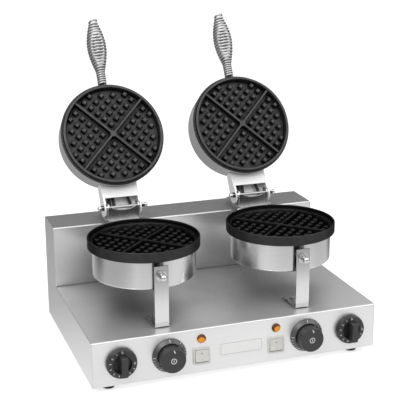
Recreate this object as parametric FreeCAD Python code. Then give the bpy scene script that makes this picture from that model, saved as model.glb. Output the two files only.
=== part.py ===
import FreeCAD, Part
import math
import os
from FreeCAD import Placement, Rotation, Vector

# Twin round waffle iron, millimetres. X runs to the right, Y to the back and Z up.
# The origin is the middle of the housing's footprint on the surface that the feet stand on.

# Housing of bent stainless sheet
housing_width = 525.0
housing_depth = 360.0
base_height = 81.0
column_height = 197.0
column_depth = 80.0
sheet = 1.5
bend_radius = 3.0
column_seam = 0.8
deck_tail = 12.0
side_flange = 14.0

# Vents in the back panel
vent_width = 4.0
vent_length = 46.0
vent_pitch = 12.0
vent_count = 9
vent_height = 140.0

# Rubber feet
foot_height = 12.0
foot_radius = 11.5
foot_taper = 1.0
foot_side_inset = 33.5
foot_end_inset = 25.0
foot_recess_radius = 4.5
foot_recess_depth = 7.0
foot_edge = 1.0

# Pan head screws
screw_radius = 1.75
screw_length = 7.0
screw_head_radius = 3.3
screw_head_height = 2.0
screw_head_round = 1.2
back_screw_heights = (24.0, 92.0, 176.0)
bottom_screw_inset = 60.0

# Fits and gaps
hole_clearance = 0.2
running_fit = 0.05
swing_gap = 0.5
overcut = 1.0
moulding_edge = 0.8
block_corner = 2.0
nut_dome_share = 0.9

# Cord gland and terminal block
gland_inset = 72.5
gland_height = 34.0
gland_bore_radius = 4.5
gland_thread_radius = 9.8
gland_nut_radius = 13.0
gland_flange = 5.0
gland_reach = 18.0
gland_inner_reach = 9.0
gland_shoulder = 1.5
gland_nose = 3.0
terminal_width = 66.0
terminal_depth = 24.0
terminal_height = 20.0
terminal_inset = 70.0
terminal_pole_radius = 3.0
terminal_pole_count = 5

# Places on the front panel, from the housing's sides or the middle and from its underside
thermostat_inset = 50.5
timer_offset = 127.5
knob_height = 41.0
switch_offset = 69.3
switch_height = 31.0
lamp_height = 62.7

# Blank name plate
name_plate_width = 79.0
name_plate_height = 24.0
name_plate_thickness = 1.0
name_plate_corner = 3.0
name_plate_offset = 4.0
name_plate_middle = 37.0

# Thermostats and timers behind the panel
shaft_radius = 3.0
shaft_socket = 16.0
neck_radius = 5.0
neck_reach = 2.0
shaft_depth = 12.0
thermostat_size = 36.0
thermostat_depth = 32.0
timer_size = 50.0
timer_depth = 44.0

# Thermostat knobs: numbered skirt with a grip bar between two finger wells
knob_gap = 1.5
skirt_radius = 26.7
skirt_top_radius = 25.2
skirt_height = 9.0
grip_width = 11.0
grip_height = 26.0
bar_radius = 17.5
grip_edge = 1.5
finger_well_radius = 16.5
finger_well_depth = 5.0
knob_hollow_radius = 9.0
knob_hollow_depth = 3.0

# Timer dials and knobs
dial_radius = 30.3
dial_edge = 3.0
dial_height = 8.0
dial_lip = 1.3
timer_knob_radius = 22.0
timer_knob_height = 26.0
timer_knob_edge = 1.5
dial_gap = 1.2

# Rocker switches
bezel_thickness = 2.4
bezel_corner = 3.0
bezel_rim = 2.0
switch_depth = 22.0
switch_wall = 1.25
rocker_width = 23.5
rocker_height = 21.0
rocker_front = 4.5
rocker_dip = 1.2
rocker_back = 4.0
rocker_back_corner = 1.5
rocker_pivot_depth = 3.0
rocker_tilt = 8.0
rocker_side_gap = 0.5
rocker_end_gap = 1.5
rocker_well = 9.0
trunnion_radius = 1.5
trunnion_bite = 0.7
trunnion_play = 0.3
tab_width = 6.3
tab_thickness = 0.8
tab_length = 8.0
tab_pitch = 8.0

# Signal lamps
lamp_radius = 8.0
lamp_stem_radius = 5.8
lamp_stem = 5.0
lamp_edge = 2.0
lamp_dome = 4.6
lamp_dome_radius = 7.0
lamp_dome_round = 2.0
lamp_body_radius = 7.0
lamp_clip_radius = 9.0
lamp_clip = 7.0
lamp_depth = 34.0

# Stations of the waffle plates
plate_offset = 131.0
plate_setback = 130.0
drum_clearance = 66.0

# Lower drum and plate
drum_height = 51.0
drum_wall = 1.5
drum_corner = 3.0
lower_rim_radius = 100.0
lower_rim_height = 18.0
lower_rim_wall = 2.5
rim_overhang = 8.0
ledge_width = 6.0
ledge_drop = 6.5
lower_divider_drop = 8.0
spigot_clearance = 0.5
plate_floor = 7.0
rim_edge = 1.2

# Waffle grid, the same in the lower plate and the lid
cavity_draft = 3.0
divider_height = 11.0
divider_width = 3.6
divider_foot = 5.4
divider_boss = 10.0
divider_boss_corner = 3.0
bump_pitch = 16.3
bump_start = 14.0
bump_height = 9.0
bump_foot = 10.4
bump_shoulder = 7.6
bump_top = 5.6
bump_bevel = 1.0
bump_rim_margin = 2.0
grid_sink = 1.0
grid_skin = 0.5

# Heating elements
element_radius = 62.0
element_tube = 4.0
element_leg = 3.5
element_leg_spread = 14.0
element_gap = 0.3

# Strip legs and drum bolts
leg_width = 25.0
leg_sheet = 2.5
leg_standoff = 9.7
leg_margin = 17.0
leg_foot = 55.5
leg_bend = 4.0
leg_screw_inset = 11.0
bolt_radius = 4.0
bolt_height = 28.5
bolt_nut_size = 13.0
bolt_nut_hex = 6.5
bolt_nut_height = 15.5
bolt_dome_radius = 6.4
washer_radius = 9.0
washer_thickness = 1.5
inner_nut_radius = 7.0
inner_nut_height = 5.0

# Hinge bridge on the column
bridge_width = 58.0
bridge_height = 10.0
bridge_sheet = 2.5
bridge_back_inset = 25.0
bridge_rim_gap = 2.0
bridge_tab_width = 40.0
bridge_tab_margin = 10.0
bridge_screw_spacing = 30.0
bridge_screw_inset = 18.0

# Hinge bracket and pin
pin_radius = 3.0
pin_distance = 139.0
pin_height = 22.0
bracket_width = 60.0
bracket_sheet = 2.5
bracket_front = 9.0
bracket_back = 13.0
bracket_wall_top = 3.0
bracket_dip = 6.6
bracket_dip_width = 48.0
ear_rise = 9.0
ear_corner = 8.5
bracket_flange = 6.0
bush_radius = 4.5
hinge_nut_size = 10.0
hinge_nut_hex = 5.5
hinge_nut_height = 12.2
hinge_dome_radius = 4.6
hinge_nut_bore = 7.5

# Lid, measured from the pin: along the lid and out of its face
lid_lean = 29.0
nest_clearance = 1.5
close_gap = 0.5
lid_rim_height = 20.0
lid_divider_drop = 2.0
lid_flange = 2.5
shell_mouth_radius = 99.5
shell_inset = 10.0
shell_depth = 55.0
shell_draft = 4.5
shell_wall = 1.2
shell_corner = 8.0

# Lid arm
arm_gap = 2.8
arm_sheet = 3.0
arm_front = 6.0
arm_slope = 0.27
arm_back = 26.0
arm_low_end = 13.0
arm_low_corner = 13.4
web_bottom = 19.0
web_sheet = 2.5
strip_width = 4.4
strip_start = 7.0
saddle_sheet = 2.5
saddle_top = 10.0
saddle_bottom = 23.0

# Leads from the column to each lid
lead_radius = 3.0
lead_inset = 6.0
lead_depth = 16.5
lead_bend = 30.0
lead_places = ((-20.0, -21.0), (-12.0, -13.0), (21.0, 10.0))
lead_clearance = 0.5

# Handle rod and its coil grip
handle_depth = 30.0
handle_length = 144.5
rod_radius = 4.0
rod_reach = 40.0
rod_edge = 2.0
rod_gap = 1.0
collar_height = 1.5
collar_margin = 0.4
wire = 4.0
wire_bend = 3.0
belly_grip_radius = 19.0
neck_end = 35.0
belly_place = 86.0
taper_end = 135.5
tight_pitch = 4.5
wide_pitch = 6.1
pitch_ramp = 25.0
coil_samples = 8

# Levels and lines that follow from the sizes above
sides = {"left": -1, "right": 1}
half_width = housing_width / 2
inner_half_width = half_width - sheet
gland_offset = half_width - gland_inset
thermostat_offset = half_width - thermostat_inset
front_y = -housing_depth / 2
back_y = housing_depth / 2
underside_z = foot_height
deck_z = underside_z + base_height
column_z = underside_z + column_height
column_y = back_y - column_depth
plate_y = front_y + plate_setback
lid_rim_radius = lower_rim_radius - lower_rim_wall - nest_clearance
cavity_radius = lower_rim_radius - lower_rim_wall - ledge_width
cavity_floor_radius = cavity_radius - cavity_draft
drum_radius = lower_rim_radius - rim_overhang
drum_z = deck_z + drum_clearance
rim_z = drum_z + drum_height
bolt_z = drum_z + bolt_height
drum_front_y = plate_y - drum_radius
leg_front_y = drum_front_y - leg_standoff - leg_sheet
bridge_z = column_z + bridge_height
bridge_front_y = plate_y + lower_rim_radius + bridge_rim_gap
bridge_back_y = back_y - bridge_back_inset
pin_y = plate_y + pin_distance
pin_z = bridge_z + pin_height
lid_face = pin_z - (rim_z + lower_rim_height - ledge_drop + close_gap)
arm_half_width = bracket_width / 2 + arm_gap + arm_sheet
nut_face = arm_half_width + swing_gap
lead_y = column_y + lead_inset
neck_grip_radius = rod_radius + rod_gap + wire
lid_plate_back = lid_face - lid_rim_height
shell_mouth = lid_face - shell_inset
shell_back = shell_mouth - shell_depth
handle_w = lid_face - handle_depth
screw_line = inner_half_width - side_flange / 2
rocker_well_half_width = rocker_width / 2 + rocker_side_gap
rocker_well_half_height = rocker_height / 2 + rocker_end_gap
switch_half_width = rocker_well_half_width + switch_wall
switch_half_height = rocker_well_half_height + switch_wall
lid_lift = Rotation(Vector(1, 0, 0), 90 - lid_lean)


# Helpers for outlines and solids

def outline(corners, place):
    """Closed wire through corners (u, v, radius), rounded where the radius is above zero."""
    spans = []
    for index, (u, v, radius) in enumerate(corners):
        here = Vector(u, v, 0)
        last = corners[index - 1]
        following = corners[(index + 1) % len(corners)]
        before = (Vector(last[0], last[1], 0) - here).normalize()
        after = (Vector(following[0], following[1], 0) - here).normalize()
        if radius > 0:
            half = before.getAngle(after) / 2
            reach = radius / math.tan(half)
            middle = here + (before + after).normalize() * (radius / math.sin(half) - radius)
            spans.append((here + before * reach, middle, here + after * reach))
        else:
            spans.append((here, None, here))
    edges = []
    for index, (start, middle, end) in enumerate(spans):
        if middle is not None:
            edges.append(Part.Arc(place(start), place(middle), place(end)).toShape())
        following = spans[(index + 1) % len(spans)][0]
        if end.distanceToPoint(following) > 1e-6:
            edges.append(Part.makeLine(place(end), place(following)))
    return Part.Wire(edges)


def rectangle(u_low, u_high, v_low, v_high, radius=0):
    return [(u_low, v_low, radius), (u_high, v_low, radius), (u_high, v_high, radius), (u_low, v_high, radius)]


def along_x(corners, start, end):
    """Prism of a (y, z) outline from one x to another."""
    face = Part.Face(outline(corners, lambda p: Vector(start, p.x, p.y)))
    return face.extrude(Vector(end - start, 0, 0))


def along_y(corners, start, end):
    """Prism of an (x, z) outline from one y to another."""
    face = Part.Face(outline(corners, lambda p: Vector(p.x, start, p.y)))
    return face.extrude(Vector(0, end - start, 0))


def along_z(corners, start, end):
    """Prism of an (x, y) outline from one z to another."""
    face = Part.Face(outline(corners, lambda p: Vector(p.x, p.y, start)))
    return face.extrude(Vector(0, 0, end - start))


def turned(corners):
    """Solid turned about Z from an outline of (radius, z, corner radius)."""
    face = Part.Face(outline(corners, lambda p: Vector(p.x, 0, p.y)))
    return face.revolve(Vector(0, 0, 0), Vector(0, 0, 1), 360)


def rod(radius, start, end):
    axis = end - start
    return Part.makeCylinder(radius, axis.Length, start, axis)


def moved(shape, placement):
    copy = shape.copy()
    copy.Placement = placement.multiply(copy.Placement)
    return copy


def at(x, y, z, rotation=Rotation()):
    return Placement(Vector(x, y, z), rotation)


def hexagon(size, start, end):
    """Hexagonal prism along Z, size across its flats."""
    reach = size / math.sqrt(3)
    angles = [math.radians(60 * step) for step in range(6)]
    return along_z([(reach * math.cos(angle), reach * math.sin(angle), 0) for angle in angles], start, end)


def acorn_nut(size, hex_height, height, dome_radius):
    """Domed nut standing on z = 0."""
    crown = dome_radius * nut_dome_share
    dome = turned([(0, 0, 0), (dome_radius, 0, 0), (dome_radius, height, crown), (0, height, 0)])
    return hexagon(size, 0, hex_height).fuse(dome).removeSplitter()


def cup(radius, depth, wall, corner, draft=0):
    """Round cup open at z = 0, narrower by the draft at its closed end at z = -depth."""
    inner = radius - wall
    inner_draft = draft * (depth - wall) / depth
    return turned([
        (0, -depth, 0), (radius - draft, -depth, corner), (radius, 0, 0), (inner, 0, 0),
        (inner - inner_draft, wall - depth, corner - wall / 2), (0, wall - depth, 0)])


def pan_screw(length):
    """Screw with its head above z = 0 and its shank below."""
    head = turned([
        (0, 0, 0), (screw_head_radius, 0, 0),
        (screw_head_radius, screw_head_height, screw_head_round), (0, screw_head_height, 0)])
    return head.fuse(rod(screw_radius, Vector(0, 0, -length), Vector(0, 0, 0))).removeSplitter()


def screw_hole(reach):
    radius = screw_radius + hole_clearance
    return rod(radius, Vector(0, 0, -reach), Vector(0, 0, reach))


def panel_place(offset, height):
    """Place on the front panel: local Z points out of the panel and local Y up."""
    return at(offset, front_y, underside_z + height, Rotation(Vector(1, 0, 0), 90))


def station(side):
    return at(side * plate_offset, 0, 0)


def lid_place():
    """Lid frame at the pin: local Y runs along the lid and local Z out of its face."""
    return at(0, pin_y, pin_z, lid_lift)


# Places of the screws

def back_screw_places():
    facing = Rotation(Vector(1, 0, 0), -90)
    return [at(side * screw_line, back_y, underside_z + height, facing)
            for side in sides.values() for height in back_screw_heights]


def bottom_screw_places():
    facing = Rotation(Vector(1, 0, 0), 180)
    return [at(side * screw_line, end * (back_y - bottom_screw_inset), underside_z, facing)
            for side in sides.values() for end in (-1, 1)]


def leg_screw_places():
    foot_y = leg_front_y + leg_foot - leg_screw_inset
    return [at(side * plate_offset, foot_y, deck_z + leg_sheet) for side in sides.values()]


def bridge_screw_places():
    screw_y = bridge_back_y - bridge_screw_inset
    return [at(side * plate_offset + edge * bridge_screw_spacing / 2, screw_y, bridge_z)
            for side in sides.values() for edge in (-1, 1)]


def drill(shape, places, reach):
    return shape.cut([moved(screw_hole(reach), place) for place in places])


def foot_places():
    x = half_width - foot_side_inset
    y = back_y - foot_end_inset
    return [at(side * x, end * y, 0) for side in (-1, 1) for end in (-1, 1)]


# Housing

def panel_holes():
    """Cutters for the controls, each through the front panel."""
    neck_hole = rod(neck_radius + hole_clearance, Vector(0, 0, -2 * sheet), Vector(0, 0, sheet))
    lamp_hole = rod(lamp_stem_radius + hole_clearance, Vector(0, 0, -2 * sheet), Vector(0, 0, sheet))
    half_x = switch_half_width + hole_clearance
    half_y = switch_half_height + hole_clearance
    switch_hole = along_z(rectangle(-half_x, half_x, -half_y, half_y), -2 * sheet, sheet)
    holes = []
    for side in sides.values():
        holes.append(moved(neck_hole, panel_place(side * thermostat_offset, knob_height)))
        holes.append(moved(neck_hole, panel_place(side * timer_offset, knob_height)))
        holes.append(moved(lamp_hole, panel_place(side * switch_offset, lamp_height)))
        holes.append(moved(switch_hole, panel_place(side * switch_offset, switch_height)))
    return holes


def base_cover():
    """Front panel and deck, bent from one sheet."""
    tail_y = column_y + deck_tail
    section = [
        (front_y, underside_z, 0), (front_y, deck_z, bend_radius), (tail_y, deck_z, 0),
        (tail_y, deck_z - sheet, 0), (front_y + sheet, deck_z - sheet, bend_radius - sheet),
        (front_y + sheet, underside_z, 0)]
    cover = along_x(section, -inner_half_width, inner_half_width).cut(panel_holes())
    return drill(cover, leg_screw_places(), leg_sheet + 2 * sheet)


def column_cover():
    """Front and top of the rear column, bent from one sheet."""
    foot_z = deck_z + column_seam
    section = [
        (column_y, foot_z, 0), (column_y, column_z, bend_radius), (back_y, column_z, 0),
        (back_y, column_z - sheet, 0), (column_y + sheet, column_z - sheet, bend_radius - sheet),
        (column_y + sheet, foot_z, 0)]
    cover = along_x(section, -inner_half_width, inner_half_width)
    return drill(cover, bridge_screw_places(), bridge_height + 2 * sheet)


def side_panel(side):
    """L-shaped side with flanges that the back panel and the bottom plate are screwed to."""
    profile = [
        (front_y, underside_z, 0), (front_y, deck_z, bend_radius), (column_y, deck_z, 0),
        (column_y, column_z, bend_radius), (back_y, column_z, 0), (back_y, underside_z, 0)]
    panel = along_x(profile, inner_half_width, half_width)
    inner = inner_half_width - side_flange
    top_z = column_z - 2 * sheet
    low_z = underside_z + sheet
    back_flange = along_x(rectangle(back_y - 2 * sheet, back_y - sheet, low_z, top_z), inner, inner_half_width)
    bottom_flange = along_x(
        rectangle(front_y + 2 * sheet, back_y - 2 * sheet, low_z, low_z + sheet), inner, inner_half_width)
    panel = panel.fuse([back_flange, bottom_flange]).removeSplitter()
    if side < 0:
        panel = panel.mirror(Vector(0, 0, 0), Vector(1, 0, 0))
    return drill(panel, back_screw_places() + bottom_screw_places(), screw_length)


def back_panel():
    panel = along_y(
        rectangle(-inner_half_width, inner_half_width, underside_z, column_z - sheet), back_y - sheet, back_y)
    slot_half = vent_width / 2
    low = underside_z + vent_height - vent_length / 2
    slot = along_y(
        rectangle(-slot_half, slot_half, low, low + vent_length, slot_half), back_y - 2 * sheet, back_y + sheet)
    first = -(vent_count - 1) / 2 * vent_pitch
    cutters = [
        moved(slot, at(side * plate_offset + first + step * vent_pitch, 0, 0))
        for side in sides.values() for step in range(vent_count)]
    gland_hole = rod(gland_thread_radius + hole_clearance, Vector(0, 0, -2 * sheet), Vector(0, 0, sheet))
    cutters.append(moved(gland_hole, gland_place()))
    return drill(panel.cut(cutters), back_screw_places(), 2 * sheet)


def bottom_plate():
    plate = along_z(
        rectangle(-inner_half_width, inner_half_width, front_y + sheet, back_y - sheet),
        underside_z, underside_z + sheet)
    foot_holes = [moved(screw_hole(foot_height + 2 * sheet), place) for place in foot_places()]
    return drill(plate.cut(foot_holes), bottom_screw_places(), 2 * sheet)


def feet():
    foot = turned([
        (0, 0, 0), (foot_radius - foot_taper, 0, foot_edge), (foot_radius, foot_height, 0),
        (0, foot_height, 0)])
    recess = rod(foot_recess_radius, Vector(0, 0, -overcut), Vector(0, 0, foot_recess_depth))
    foot = foot.cut([recess, screw_hole(foot_height + overcut)])
    return Part.makeCompound([moved(foot, place) for place in foot_places()])


def foot_screws():
    facing = Rotation(Vector(1, 0, 0), 180)
    screw = moved(pan_screw(screw_length), at(0, 0, foot_recess_depth, facing))
    return Part.makeCompound([moved(screw, place) for place in foot_places()])


def housing_screws():
    places = back_screw_places() + bottom_screw_places() + leg_screw_places()
    screws = [moved(pan_screw(screw_length), place) for place in places]
    long_screw = pan_screw(screw_length + bridge_height)
    screws += [moved(long_screw, place) for place in bridge_screw_places()]
    return Part.makeCompound(screws)


def gland_place():
    """Place of the cord gland: local Z points out of the back panel."""
    return at(gland_offset, back_y, underside_z + gland_height, Rotation(Vector(1, 0, 0), -90))


def cord_gland():
    """Gland body outside the back panel and its lock nut inside."""
    inner_z = -sheet - gland_inner_reach
    shoulder = gland_thread_radius + gland_shoulder
    body = turned([
        (gland_bore_radius, inner_z, 0), (gland_thread_radius, inner_z, 0), (gland_thread_radius, 0, 0),
        (gland_nut_radius, 0, 0), (gland_nut_radius, gland_flange, 0),
        (shoulder, gland_flange, 0), (shoulder, gland_reach, gland_nose), (gland_bore_radius, gland_reach, 0)])
    nut = hexagon(2 * gland_nut_radius, -sheet - gland_flange, -sheet)
    nut = nut.cut(rod(gland_thread_radius + running_fit, Vector(0, 0, inner_z), Vector(0, 0, 0)))
    return moved(Part.makeCompound([body, nut]), gland_place())


def terminal_block():
    y = back_y - terminal_inset
    low_z = underside_z + sheet
    block = along_z(
        rectangle(gland_offset - terminal_width / 2, gland_offset + terminal_width / 2,
                  y - terminal_depth / 2, y + terminal_depth / 2, block_corner), low_z, low_z + terminal_height)
    pitch = terminal_width / terminal_pole_count
    wells = []
    for pole in range(terminal_pole_count):
        x = gland_offset + (pole - (terminal_pole_count - 1) / 2) * pitch
        top = Vector(x, y, low_z + terminal_height + overcut)
        wells.append(rod(terminal_pole_radius, top - Vector(0, 0, terminal_height / 2), top))
    return block.cut(wells)


def name_plate():
    half_x = name_plate_width / 2
    half_y = name_plate_height / 2
    plate = along_z(rectangle(-half_x, half_x, -half_y, half_y, name_plate_corner), 0, name_plate_thickness)
    return moved(plate, panel_place(name_plate_offset, name_plate_middle))


# Controls, modelled at the panel's outer face with local Z pointing out

def control_body(size, depth):
    """Body of a thermostat or timer behind the panel, with its neck and the bore for the shaft."""
    half = size / 2
    body = along_z(rectangle(-half, half, -half, half, block_corner), -sheet - depth, -sheet)
    body = body.fuse(rod(neck_radius, Vector(0, 0, -sheet), Vector(0, 0, neck_reach))).removeSplitter()
    bore_end = -sheet - shaft_depth - swing_gap
    return body.cut(rod(shaft_radius + running_fit, Vector(0, 0, bore_end), Vector(0, 0, neck_reach + overcut)))


def thermostats():
    body = control_body(thermostat_size, thermostat_depth)
    places = [panel_place(side * thermostat_offset, knob_height) for side in sides.values()]
    return Part.makeCompound([moved(body, place) for place in places])


def timers():
    body = control_body(timer_size, timer_depth)
    places = [panel_place(side * timer_offset, knob_height) for side in sides.values()]
    return Part.makeCompound([moved(body, place) for place in places])


def control_shaft():
    return rod(shaft_radius, Vector(0, 0, -sheet - shaft_depth), Vector(0, 0, knob_gap + shaft_socket))


def shaft_socket_cutters():
    """Hollow behind a knob and the blind socket for its shaft."""
    hollow = rod(knob_hollow_radius, Vector(0, 0, 0), Vector(0, 0, knob_gap + knob_hollow_depth))
    socket = rod(shaft_radius + running_fit, Vector(0, 0, 0), Vector(0, 0, knob_gap + shaft_socket))
    return [hollow, socket]


def thermostat_knob():
    skirt_z = knob_gap + skirt_height
    skirt = turned([
        (0, knob_gap, 0), (skirt_radius, knob_gap, moulding_edge),
        (skirt_radius, knob_gap + skirt_height / 2, 0),
        (skirt_top_radius, skirt_z, moulding_edge), (0, skirt_z, 0)])
    half = grip_width / 2
    top_z = knob_gap + grip_height
    low_z = skirt_z - finger_well_depth
    bar = along_y(
        [(-half, low_z, 0), (half, low_z, 0), (half, top_z, grip_edge), (-half, top_z, grip_edge)],
        -skirt_radius, skirt_radius)
    end_round = turned([
        (0, low_z, 0), (bar_radius, low_z, 0), (bar_radius, top_z, grip_edge), (0, top_z, 0)])
    well = rod(finger_well_radius, Vector(0, 0, low_z), Vector(0, 0, skirt_z + overcut))
    knob = skirt.cut(well).fuse(bar.common(end_round)).removeSplitter()
    return knob.cut(shaft_socket_cutters())


def timer_knob():
    top_z = knob_gap + timer_knob_height
    knob = turned([
        (0, knob_gap, 0), (timer_knob_radius, knob_gap, moulding_edge),
        (timer_knob_radius, top_z, timer_knob_edge), (0, top_z, 0)])
    return knob.cut(shaft_socket_cutters())


def timer_dials():
    """Fixed numbered rings round the timer knobs."""
    bore = timer_knob_radius + dial_gap
    ring = turned([
        (bore, 0, 0), (dial_radius, 0, 0), (dial_radius, dial_edge, moulding_edge),
        (bore + dial_lip, dial_height, moulding_edge / 2), (bore, dial_height, 0)])
    places = [panel_place(side * timer_offset, knob_height) for side in sides.values()]
    return Part.makeCompound([moved(ring, place) for place in places])


def switch_bodies():
    """Bezel in front of the panel and the body behind it, hollow for the rocker."""
    bezel_x = switch_half_width + bezel_rim
    bezel_y = switch_half_height + bezel_rim
    bezel = along_z(rectangle(-bezel_x, bezel_x, -bezel_y, bezel_y, bezel_corner), 0, bezel_thickness)
    body = along_z(
        rectangle(-switch_half_width, switch_half_width, -switch_half_height, switch_half_height),
        -switch_depth, 0)
    back = -switch_depth
    tabs = [along_z(
        rectangle(-tab_width / 2, tab_width / 2, row * tab_pitch, row * tab_pitch + tab_thickness),
        back - tab_length, back) for row in (-1, 0)]
    well_x = rocker_well_half_width
    well_y = rocker_well_half_height
    well = along_z(rectangle(-well_x, well_x, -well_y, well_y), -rocker_well, bezel_thickness + overcut)
    socket_x = well_x + trunnion_bite + trunnion_play
    pivot_z = -rocker_pivot_depth
    socket = rod(trunnion_radius + running_fit, Vector(-socket_x, 0, pivot_z), Vector(socket_x, 0, pivot_z))
    switch = bezel.fuse([body] + tabs).removeSplitter().cut([well, socket])
    places = [panel_place(side * switch_offset, switch_height) for side in sides.values()]
    return Part.makeCompound([moved(switch, place) for place in places])


def rocker():
    """Rocker with a shallow valley in front, tilted with its upper end pressed in."""
    half = rocker_height / 2
    profile = [
        (-half, -rocker_back, rocker_back_corner), (half, -rocker_back, rocker_back_corner),
        (half, rocker_front, moulding_edge), (0, rocker_front - rocker_dip, 0),
        (-half, rocker_front, moulding_edge)]
    body = along_x(profile, -rocker_width / 2, rocker_width / 2)
    reach = rocker_well_half_width + trunnion_bite
    pivot = Vector(0, 0, -rocker_pivot_depth)
    trunnion = rod(trunnion_radius, pivot - Vector(reach, 0, 0), pivot + Vector(reach, 0, 0))
    body = body.fuse(trunnion).removeSplitter()
    body.rotate(pivot, Vector(1, 0, 0), -rocker_tilt)
    return body


def lamp_lenses():
    lens = turned([
        (0, -lamp_stem, 0), (lamp_stem_radius, -lamp_stem, 0), (lamp_stem_radius, 0, 0), (lamp_radius, 0, 0),
        (lamp_radius, lamp_edge, moulding_edge), (lamp_dome_radius, lamp_edge, 0),
        (lamp_dome_radius, lamp_dome, lamp_dome_round), (0, lamp_dome, 0)])
    places = [panel_place(side * switch_offset, lamp_height) for side in sides.values()]
    return Part.makeCompound([moved(lens, place) for place in places])


def lamp_bodies():
    """Lamp holders behind the panel, each with a recess for the lens stem."""
    clip_z = -sheet - lamp_clip
    recess = lamp_stem_radius + hole_clearance
    body = turned([
        (0, -lamp_depth, 0), (lamp_body_radius, -lamp_depth, moulding_edge), (lamp_body_radius, clip_z, 0),
        (lamp_clip_radius, clip_z, 0), (lamp_clip_radius, -sheet, 0), (recess, -sheet, 0),
        (recess, -lamp_stem, 0), (0, -lamp_stem, 0)])
    places = [panel_place(side * switch_offset, lamp_height) for side in sides.values()]
    return Part.makeCompound([moved(body, place) for place in places])


# Waffle plates

def bump():
    """Square bump with sloping sides and a bevelled top, standing on z = 0 and sunk a little into the floor."""
    levels = ((bump_foot, -grid_sink), (bump_shoulder, bump_height - bump_bevel), (bump_top, bump_height))
    sections = []
    for size, z in levels:
        half = size / 2
        sections.append(outline(rectangle(-half, half, -half, half), lambda p: Vector(p.x, p.y, z)))
    return Part.makeLoft(sections, True, True)


def divider():
    """Bar with sloping sides right across the cavity."""
    reach = cavity_radius + cavity_draft
    sections = []
    for width, z in ((divider_foot, -grid_sink), (divider_width, divider_height)):
        half = width / 2
        sections.append(outline(rectangle(-reach, reach, -half, half), lambda p: Vector(p.x, p.y, z)))
    return Part.makeLoft(sections, True, True)


def waffle_grid(depth):
    """Crossed dividers and the bumps of the four quarters, on a floor at z = 0 in a cavity this deep."""
    half_boss = divider_boss / 2
    boss = along_z(
        rectangle(-half_boss, half_boss, -half_boss, half_boss, divider_boss_corner),
        -grid_sink, divider_height)
    pieces = [divider(), moved(divider(), at(0, 0, 0, Rotation(Vector(0, 0, 1), 90))), boss]
    shape = bump()
    steps = range(int(cavity_radius / bump_pitch) + 1)
    for i in steps:
        for j in steps:
            x = bump_start + i * bump_pitch
            y = bump_start + j * bump_pitch
            if math.hypot(x, y) < cavity_floor_radius - bump_rim_margin:
                pieces += [moved(shape, at(a * x, b * y, 0)) for a in (-1, 1) for b in (-1, 1)]
    slope = cavity_draft / depth
    room = Part.makeCone(
        cavity_floor_radius + grid_skin - slope * grid_sink, cavity_radius + grid_skin, depth + grid_sink,
        Vector(0, 0, -grid_sink))
    diagonal = Rotation(Vector(0, 0, 1), 45)
    return [moved(piece.common(room), at(0, 0, 0, diagonal)) for piece in pieces]


def lower_plate():
    """Lower plate on the drum: outer wall, ledge, cavity and waffle grid."""
    ledge_z = lower_rim_height - ledge_drop
    floor_z = lower_rim_height - lower_divider_drop - divider_height
    spigot = drum_radius - drum_wall - spigot_clearance
    wall = lower_rim_radius - lower_rim_wall
    body = turned([
        (0, floor_z - plate_floor, 0), (spigot, floor_z - plate_floor, 0), (spigot, 0, 0),
        (lower_rim_radius, 0, rim_edge), (lower_rim_radius, lower_rim_height, rim_edge),
        (wall, lower_rim_height, rim_edge / 2), (wall, ledge_z, 0), (cavity_radius, ledge_z, rim_edge / 2),
        (cavity_floor_radius, floor_z, 0), (0, floor_z, 0)])
    grid = [moved(piece, at(0, 0, floor_z)) for piece in waffle_grid(ledge_z - floor_z)]
    return moved(body.fuse(grid).removeSplitter(), at(0, plate_y, rim_z))


def lid_plate():
    """Lid plate in the lid frame: spigot in the shell, flange on its mouth, rim, cavity and waffle grid."""
    floor_z = lid_rim_height - lid_divider_drop - divider_height
    spigot = shell_radius(lid_plate_back) - shell_wall - spigot_clearance
    seat_z = lid_rim_height - shell_inset
    flange_z = seat_z + lid_flange
    body = turned([
        (0, 0, 0), (spigot, 0, 0), (spigot, seat_z, 0), (shell_mouth_radius, seat_z, 0),
        (shell_mouth_radius, flange_z, rim_edge), (lid_rim_radius, flange_z, 0),
        (lid_rim_radius, lid_rim_height, rim_edge), (cavity_radius, lid_rim_height, rim_edge / 2),
        (cavity_floor_radius, floor_z, 0), (0, floor_z, 0)])
    grid = [moved(piece, at(0, 0, floor_z)) for piece in waffle_grid(lid_rim_height - floor_z)]
    return moved(body.fuse(grid).removeSplitter(), at(0, pin_distance, lid_plate_back))


# Lower stations

def drum_bore(radius):
    """Straight hole through the drum's front and rear walls at the bolts."""
    back = bridge_front_y + bridge_sheet + overcut
    return rod(radius, Vector(0, leg_front_y - overcut, bolt_z), Vector(0, back, bolt_z))


def lower_drum():
    drum = moved(cup(drum_radius, drum_height, drum_wall, drum_corner), at(0, plate_y, rim_z))
    hole = bolt_radius + hole_clearance
    centre_hole = rod(hole, Vector(0, plate_y, drum_z - overcut), Vector(0, plate_y, drum_z + 2 * drum_wall))
    return drum.cut([drum_bore(hole), centre_hole])


def plate_underside():
    return rim_z + lower_rim_height - lower_divider_drop - divider_height - plate_floor


def element(top, foot):
    """Tubular ring under a plate, with two legs that stand on the casing."""
    ring_z = top - element_gap - element_tube
    ring = Part.makeTorus(element_radius, element_tube, Vector(0, 0, ring_z))
    legs = []
    for edge in (-1, 1):
        x = edge * element_leg_spread
        y = math.sqrt(element_radius ** 2 - x ** 2)
        legs.append(rod(element_leg, Vector(x, y, foot), Vector(x, y, ring_z)))
    return ring.fuse(legs).removeSplitter()


def lower_elements():
    ring = moved(element(plate_underside(), drum_z + drum_wall), at(0, plate_y, 0))
    return Part.makeCompound([moved(ring, station(side)) for side in sides.values()])


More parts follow.
